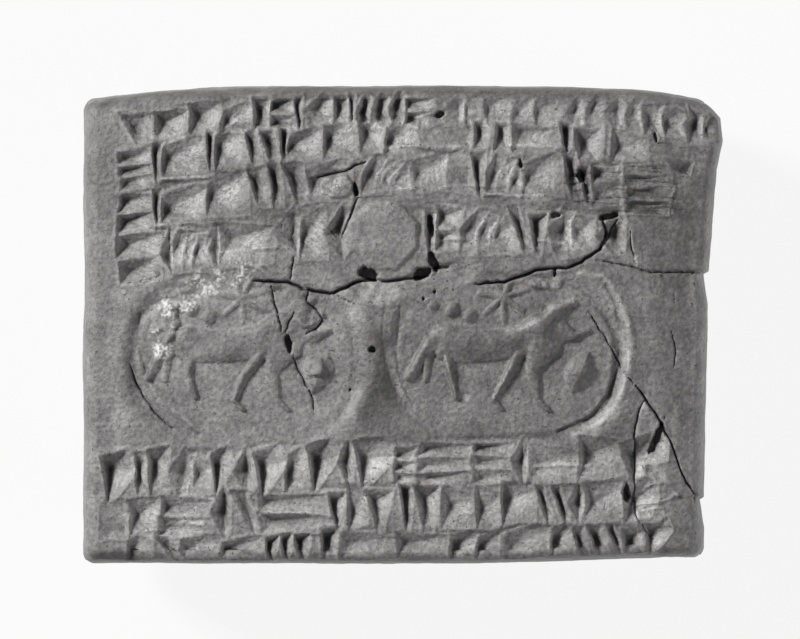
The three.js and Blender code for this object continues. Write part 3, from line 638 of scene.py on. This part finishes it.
def raise_lump(sheet, ground):
    """Leaves the lump standing flat where the row runs round it."""
    x, y, half, height = LUMP
    where, s, t = sheet.window((x - 2 * half, y - 2 * half), (x + 2 * half, y + 2 * half))
    s, t = np.abs(s - x + sheet.stray_s[where]), np.abs(t - y + sheet.stray_t[where])
    octagon = np.maximum(np.maximum(s, t), (s + t) / 1.38) / half
    within = smoothstep(-octagon, -1.12, -0.96)
    sheet.height[where] += within * (ground[where] + height - sheet.height[where])
    for layer, left in ((sheet.tone, 0.52), (sheet.polish, 0)):
        layer[where] += within * (left - layer[where])


def stain_and_paint_shading(sheet):
    """Darkens and lightens patches of the clay: stains, with painted shade and painted light among them."""
    for x, y, half_length, half_width, change in STAINS_AND_PAINTED_SHADING:
        reach = (1.6 * half_length, 1.6 * half_width)
        where, s, t = sheet.window(np.subtract((x, y), reach), np.add((x, y), reach))
        edge = oval(s, t, (x, y), (half_length, half_width)) + 0.3 * sheet.clouds(1.2, 91)[where]
        sheet.tone[where] += change * smoothstep(-edge, -1.3, -0.5)


def grow_crust(sheet):
    """Grows the white crust in specks."""
    specks = smoothstep(sheet.clouds(0.15, 92) + 0.8 * sheet.clouds(0.7, 93), 0.1, 0.75)
    for x, y, half_length, half_width, turn in CRUSTS:
        reach = 1.6 * max(half_length, half_width)
        where, s, t = sheet.window((x - reach, y - reach), (x + reach, y + reach))
        edge = oval(s, t, (x, y), (half_length, half_width), turn)
        grown = specks[where] * smoothstep(-edge, -1.4, -0.7)
        sheet.crust[where] = np.maximum(sheet.crust[where], grown)
        sheet.height[where] += CRUST_RISE * grown


def raise_line(sheet, points, half_width, rise, paler, layer, rng):
    """Raises or sinks a thin line, and makes one layer of its finish paler or darker."""
    line = wander(points, 0.5, 0.06, rng)
    where, s, t = sheet.window(line.min(0) - 1, line.max(0) + 1)
    nearest = np.min([from_segment(s, t, *ends)[0] for ends in zip(line, line[1:])], 0)
    bead = smoothstep(-nearest, -half_width, 0) * (0.7 + 0.3 * sheet.clouds(0.7, 94)[where])
    sheet.height[where] += rise * bead
    layer[where] += paler * bead


def scratch(sheet, rng):
    """Draws level scratches over the most worn part."""
    for _ in range(SCRATCHES["count"]):
        x, y = rng.uniform(SCRATCHES["low"], SCRATCHES["high"])
        run = rng.uniform(1, 4)
        points = [(x, y), (x + run / 2, y + rng.uniform(-0.15, 0.15)), (x + run, y - 0.1)]
        cut_crack(sheet, rng.uniform(0.1, 0.2), rng.uniform(0.1, 0.3), 0, points, rng)


# ---------------------------------------------------------------- the relief of each side


def wear(sheet):
    """Rounds the crests off, and leaves the hollows sharp."""
    np.minimum(sheet.height, sheet.blurred(WEAR_REACH) + WEAR_LEFT, out=sheet.height)


def paint_relief_light_and_shade(sheet, ground):
    """Paints light and shade by the relief: pales the pressed clay, partly for its smoother surface and
    partly as painted light, paints light on the crests and paints shade in the hollows.
    """
    rise = sheet.height - sheet.blurred(SURROUNDINGS)
    hollow = np.clip(-rise / FULL_HOLLOW, 0, 1)
    crest = np.clip(rise / FULL_CREST, 0, 1)
    pressed = smoothstep(ground - sheet.height, 0.05, 0.3)
    sheet.polish = pressed * (1 - hollow)
    # Painted light on pressed clay and crests, painted shade in hollows.
    sheet.tone = (
        TONE["bare"] + TONE["pressed"] * sheet.polish + TONE["crest"] * crest - TONE["hollow"] * hollow
    )


def press_writing(sheet, ground, rng):
    """Presses the rows and the strokes outside them, and wears them."""
    for seed, row in enumerate(ROWS):
        press_bench(sheet, row, seed=40 + seed)
    benched = sheet.height.copy()
    for row in ROWS:
        press_row(sheet, benched, row, rng)
    for x, y, half_length, half_width, gone in WORN:
        edge = oval(sheet.s[None, :], sheet.t[:, None], (x, y), (half_length, half_width))
        sheet.height += smoothstep(-edge, -1.2, -0.6) * (ground - WORN_LEVEL - sheet.height) * gone
    for depth, deepest, corners in LONE_STROKES:
        press_stroke(sheet, ground, depth, deepest, corners)
    wear(sheet)


def damage(sheet, rng):
    """Breaks, cracks and scratches the face."""
    for seed, patch in enumerate(PATCHES):
        raise_patch(sheet, *patch, seed=150 + 2 * seed)
    for width, depth, step_up, points in CRACKS:
        cut_crack(sheet, width, depth, step_up, points, rng)
    for seed, hole in enumerate(HOLES):
        break_hole(sheet, *hole, seed=80 + seed)
    scratch(sheet, rng)


def front_relief(step):
    """The inscribed face, over the shoulders and down to the middle of the sides."""
    sheet = Sheet(LENGTH / 2 + SIDE_MARGIN, WIDTH / 2 + SIDE_MARGIN, step)
    rng = np.random.default_rng(7)
    ground = sheet.unsettle(FACE_UNEVEN)
    press_writing(sheet, ground, rng)
    paint_relief_light_and_shade(sheet, ground)
    for seal in SEALS:
        press_seal(sheet, seal)
    raise_lump(sheet, ground)
    damage(sheet, rng)
    # The ridges' paler crests are painted highlights.
    for ridge in RIDGES:
        raise_line(sheet, ridge, **RIDGE_LINE, layer=sheet.tone, rng=rng)
    # The seal lines carry painted highlights on ridges and painted shade in grooves.
    for points, half_width, rise, paler in SEAL_LINES:
        raise_line(sheet, points, half_width, rise, paler, sheet.tone, rng)
    # Stains, and painted shade and painted light in some patches.
    stain_and_paint_shading(sheet)
    grow_crust(sheet)
    raise_line(sheet, GLUE, **GLUE_LINE, layer=sheet.crust, rng=rng)
    sheet.height += GRIT * sheet.rough(0.35, 31, 2)
    return sheet


def back_relief(step):
    """The back: gently uneven, with three worn rows of strokes."""
    sheet = Sheet(LENGTH / 2 + SIDE_MARGIN, WIDTH / 2 + SIDE_MARGIN, step)
    ground = sheet.unsettle(BACK_UNEVEN)
    rng = np.random.default_rng(8)
    for row in BACK_ROWS:
        press_row(sheet, ground, row, rng)
    paint_relief_light_and_shade(sheet, ground)
    sheet.height = sheet.blurred(BACK_WEAR)
    np.minimum(sheet.height, 0, out=sheet.height)
    return sheet


# ---------------------------------------------------------------- the body


def lattice(lines):
    """Where a box's surface is crossed by lines along its three axes: points and four-cornered faces."""
    counts = [line.size for line in lines]
    number = np.full(counts, -1, np.int64)
    shell = np.zeros(counts, bool)
    for axis in range(3):
        ends = [slice(None)] * 3
        ends[axis] = [0, -1]
        shell[tuple(ends)] = True
    number[shell] = np.arange(shell.sum())
    points = np.stack([line[index] for line, index in zip(lines, np.nonzero(shell))], 1)
    faces = []
    for axis in range(3):
        for end, outward in ((0, False), (-1, True)):
            grid = np.take(number, end, axis)
            if (axis == 1) == outward:
                grid = grid.T
            quads = np.stack([grid[:-1, :-1], grid[1:, :-1], grid[1:, 1:], grid[:-1, 1:]], -1)
            faces.append(quads.reshape(-1, 4))
    return points, np.concatenate(faces)


def rounded(block):
    """The block's points with its edges rounded, and the way out of the clay at each."""
    inner = np.clip(block, REACH - HALF, HALF - REACH)
    lean = (block - inner) / REACH
    lean /= np.linalg.norm(lean, axis=1, keepdims=True)
    outward = lean / REACH
    return inner + lean * REACH, outward / np.linalg.norm(outward, axis=1, keepdims=True)


def settled(points):
    """The evenly rounded points where they are on the hand-made tablet."""
    u, v, w = (points / HALF).T
    fall_x = np.where(w > 0, FACE_FALL[0], BACK_FALL[0])
    fall_y = np.where(w > 0, FACE_FALL[1], BACK_FALL[1])
    fullness = 1 - SIDE_BULGE * w * w / HALF[0]
    ys, xs = np.array(RIGHT_SIDE[::-1]).T
    narrower = (HALF[0] - np.interp(points[:, 1], ys, xs)) * smoothstep(u, 0.8, 1)
    bow = TOP_BOW * u**4 * smoothstep(v, 0.3, 1) - FOOT_BOW * smoothstep(u, 0.2, 0.8) * smoothstep(-v, 0.3, 1)
    height = points[:, 2] * (1 - (fall_x * u * u + fall_y * v * v) / HALF[2])
    return np.stack([
        points[:, 0] * fullness - narrower,
        points[:, 1] * fullness - bow,
        np.maximum(height, RESTING_FLAT - HALF[2]) + HALF[2] - RESTING_FLAT,
    ], 1)


def relieved(block, step):
    """The body's points with the relief of both sides, and each layer of their finish."""
    even, outward = rounded(block)
    x, y, z = block.T
    over_x = np.abs(x) >= HALF[0] - 1e-6
    over_y = np.abs(y) >= HALF[1] - 1e-6
    down_front = SIDE_RUN * (HALF[2] - z)
    down_back = SIDE_RUN * (HALF[2] + z)
    face = 1 - SIDE_BULGE / HALF[0]
    front_place = (
        face * (x + np.sign(x) * over_x * down_front),
        face * (y + np.sign(y) * over_y * down_front),
    )
    back_place = (x + np.sign(x) * over_x * down_back, -y - np.sign(y) * over_y * down_back)
    front = front_relief(step)
    back = back_relief(2 * step)
    share = smoothstep(z, -2.5, 0.5)

    def both(layer):
        on_front = front.at(*front_place, getattr(front, layer))
        return on_front * share + back.at(*back_place, getattr(back, layer)) * (1 - share)

    return settled(even) + outward * both("height")[:, None], {name: both(name) for name in FINISH}


def tablet_mesh():
    """The tablet as one closed mesh, evenly fine, with each layer of the clay's finish on its points."""
    spacing = MESH_SPACING[DETAIL]
    lines = [np.linspace(-half, half, round(2 * half / pitch))
             for half, pitch in zip(HALF, (spacing, spacing, 3 * spacing))]
    block, faces = lattice(lines)
    points, finish = relieved(block, RELIEF_STEP[DETAIL])
    mesh = bpy.data.meshes.new("tablet_clay")
    mesh.vertices.add(len(points))
    mesh.vertices.foreach_set("co", (points * MM).ravel())
    mesh.loops.add(faces.size)
    mesh.loops.foreach_set("vertex_index", faces.ravel())
    mesh.polygons.add(len(faces))
    mesh.polygons.foreach_set("loop_start", np.arange(0, faces.size, 4))
    mesh.update(calc_edges=True)
    for name, values in finish.items():
        mesh.attributes.new(name, "FLOAT", "POINT").data.foreach_set("value", values)
    return mesh


def thinned(tablet, most):
    """Joins the mesh's small triangles where the surface is plain, down to a number of triangles."""
    count = 2 * len(tablet.data.polygons)
    thin = tablet.modifiers.new("thin", "DECIMATE")
    thin.ratio = min(1, most / count)
    settled_mesh = bpy.data.meshes.new_from_object(
        tablet.evaluated_get(bpy.context.evaluated_depsgraph_get()))
    tablet.modifiers.clear()
    tablet.data = settled_mesh
    tablet.data.shade_smooth()


def make_tablet():
    tablet = bpy.data.objects.new("clay_tablet", tablet_mesh())
    bpy.context.scene.collection.objects.link(tablet)
    thinned(tablet, MOST_TRIANGLES[DETAIL])
    tablet.data.materials.append(clay())
    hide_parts("tablet")
    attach(tablet, "root")


# ---------------------------------------------------------------- materials


def node(tree, kind, **values):
    """A shader node, with values for its properties or its inputs by name."""
    made = tree.nodes.new(kind)
    for name, value in values.items():
        if hasattr(made, name):
            setattr(made, name, value)
        else:
            made.inputs[name.replace("_", " ").title()].default_value = value
    return made


def noise(tree, where, scale, detail=4.0, roughness=0.6):
    made = node(tree, "ShaderNodeTexNoise", scale=scale, detail=detail, roughness=roughness)
    tree.links.new(where, made.inputs["Vector"])
    return made.outputs["Fac"]


def ramp(tree, value, *stops):
    """Grey shades, or other numbers from 0 to 1, at places along a value."""
    made = tree.nodes.new("ShaderNodeValToRGB")
    elements = made.color_ramp.elements
    while len(elements) < len(stops):
        elements.new(0.5)
    for element, (place, shade) in zip(elements, stops):
        element.position = place
        element.color = (shade, shade, shade, 1)
    tree.links.new(value, made.inputs["Fac"])
    return made.outputs["Color"]


def blend(tree, how, share, first, second):
    """Two colours mixed, each a link or a plain colour."""
    made = tree.nodes.new("ShaderNodeMix")
    made.data_type = "RGBA"
    made.blend_type = how
    for socket, value in ((made.inputs[0], share), (made.inputs[6], first), (made.inputs[7], second)):
        if isinstance(value, bpy.types.NodeSocket):
            tree.links.new(value, socket)
        else:
            socket.default_value = value
    return made.outputs[2]


def attribute(tree, name):
    made = tree.nodes.new("ShaderNodeAttribute")
    made.attribute_name = name
    return made.outputs["Fac"]


def clay_colour(tree, where, fine):
    """The clay's mottled colour, from its tone, which carries painted shade and painted light, under the
    crust.
    """
    broad = ramp(tree, noise(tree, where, 450, 3), (0.35, 0.3), (0.65, 0.7))
    pores = ramp(tree, noise(tree, where, 3300, 1), (0.27, 1), (0.33, 0))
    tone = attribute(tree, "tone")
    # The tone mixes in painted shade from hollows, grooves and figures, and painted light from crests, ridges
    # and the seal's wall.
    colour = blend(tree, "MIX", ramp(tree, tone, (0, 1), (0.45, 0)), CLAY, DIRTY_AND_SHADED_CLAY)
    colour = blend(tree, "MIX", ramp(tree, tone, (0.4, 0), (1, 1)), colour, PALE_CLAY)
    colour = blend(tree, "OVERLAY", 0.5, colour, broad)
    colour = blend(tree, "OVERLAY", 0.4, colour, fine)
    colour = blend(tree, "MIX", pores, colour, DIRTY_AND_SHADED_CLAY)
    colour = blend(tree, "MIX", attribute(tree, "crust"), colour, CRUST)
    return colour


def clay():
    """Fine grey clay: mottled and gritty, pale where it was pressed, partly as painted light, with painted
    light on its crests and painted shade in its hollows.
    """
    material = bpy.data.materials.new("clay")
    material.use_nodes = True
    tree = material.node_tree
    shader = tree.nodes["Principled BSDF"]
    where = tree.nodes.new("ShaderNodeTexCoord").outputs["Object"]
    fine = ramp(tree, noise(tree, where, 2600, 2), (0.35, 0.2), (0.65, 0.8))
    tree.links.new(clay_colour(tree, where, fine), shader.inputs["Base Color"])
    dull = ramp(tree, fine, (0.35, 0.55), (0.65, 0.68))
    roughness = blend(tree, "MIX", attribute(tree, "polish"), dull, SMOOTHED)
    tree.links.new(roughness, shader.inputs["Roughness"])
    grain = tree.nodes.new("ShaderNodeBump")
    grain.inputs["Strength"].default_value = 1.0
    grain.inputs["Distance"].default_value = GRAIN_HEIGHT
    tree.links.new(noise(tree, where, 2400, 2, 0.5), grain.inputs["Height"])
    tree.links.new(grain.outputs["Normal"], shader.inputs["Normal"])
    shader.inputs["Specular IOR Level"].default_value = 0.5
    return material


def pale_floor():
    material = bpy.data.materials.new("pale_floor")
    material.use_nodes = True
    shader = material.node_tree.nodes["Principled BSDF"]
    shader.inputs["Base Color"].default_value = FLOOR_GREY
    shader.inputs["Roughness"].default_value = 0.9
    shader.inputs["Emission Color"].default_value = (1, 1, 1, 1)
    shader.inputs["Emission Strength"].default_value = FLOOR_GLOW
    return material


# ---------------------------------------------------------------- the studio


def make_floor():
    mesh = bpy.data.meshes.new("floor")
    corners = [(x * FLOOR_HALF, y * FLOOR_HALF, 0) for x, y in ((-1, -1), (1, -1), (1, 1), (-1, 1))]
    mesh.from_pydata(corners, [], [(0, 1, 2, 3)])
    mesh.materials.append(pale_floor())
    floor = bpy.data.objects.new("floor", mesh)
    bpy.context.scene.collection.objects.link(floor)


def make_light(name, azimuth, elevation, distance, size, power):
    """A square lamp aimed at the tablet. Azimuth 0 is at +X and 90 at +Y."""
    lamp = bpy.data.lights.new(name, "AREA")
    lamp.size = size
    lamp.energy = power
    light = bpy.data.objects.new(name, lamp)
    turn, rise = math.radians(azimuth), math.radians(elevation)
    away = np.array([math.cos(turn) * math.cos(rise), math.sin(turn) * math.cos(rise), math.sin(rise)])
    light.location = away * distance + np.array([0, 0, THICKNESS * MM])
    light.rotation_euler = (math.pi / 2 - rise, 0, turn + math.pi / 2)
    bpy.context.scene.collection.objects.link(light)


def make_lights():
    make_light("key", azimuth=148, elevation=34, distance=0.9, size=0.2, power=10)
    make_light("fill", azimuth=-20, elevation=24, distance=1.0, size=0.6, power=2.6)
    world = bpy.data.worlds.new("studio")
    world.use_nodes = True
    background = world.node_tree.nodes["Background"]
    background.inputs["Color"].default_value = (1, 1, 1, 1)
    background.inputs["Strength"].default_value = WORLD_LIGHT
    bpy.context.scene.world = world


def make_camera():
    lens = bpy.data.cameras.new("camera")
    lens.sensor_width = SENSOR
    lens.lens = SENSOR * CAMERA_HEIGHT / FRAME_WIDTH
    lens.clip_start = 0.01
    lens.clip_end = 10
    camera = bpy.data.objects.new("camera", lens)
    camera.location = (AIM[0] * MM, AIM[1] * MM, (THICKNESS + CAMERA_HEIGHT) * MM)
    bpy.context.scene.collection.objects.link(camera)
    bpy.context.scene.camera = camera


bpy.context.scene.view_settings.view_transform = "Standard"
make_camera()
make_floor()
make_lights()
make_tablet()
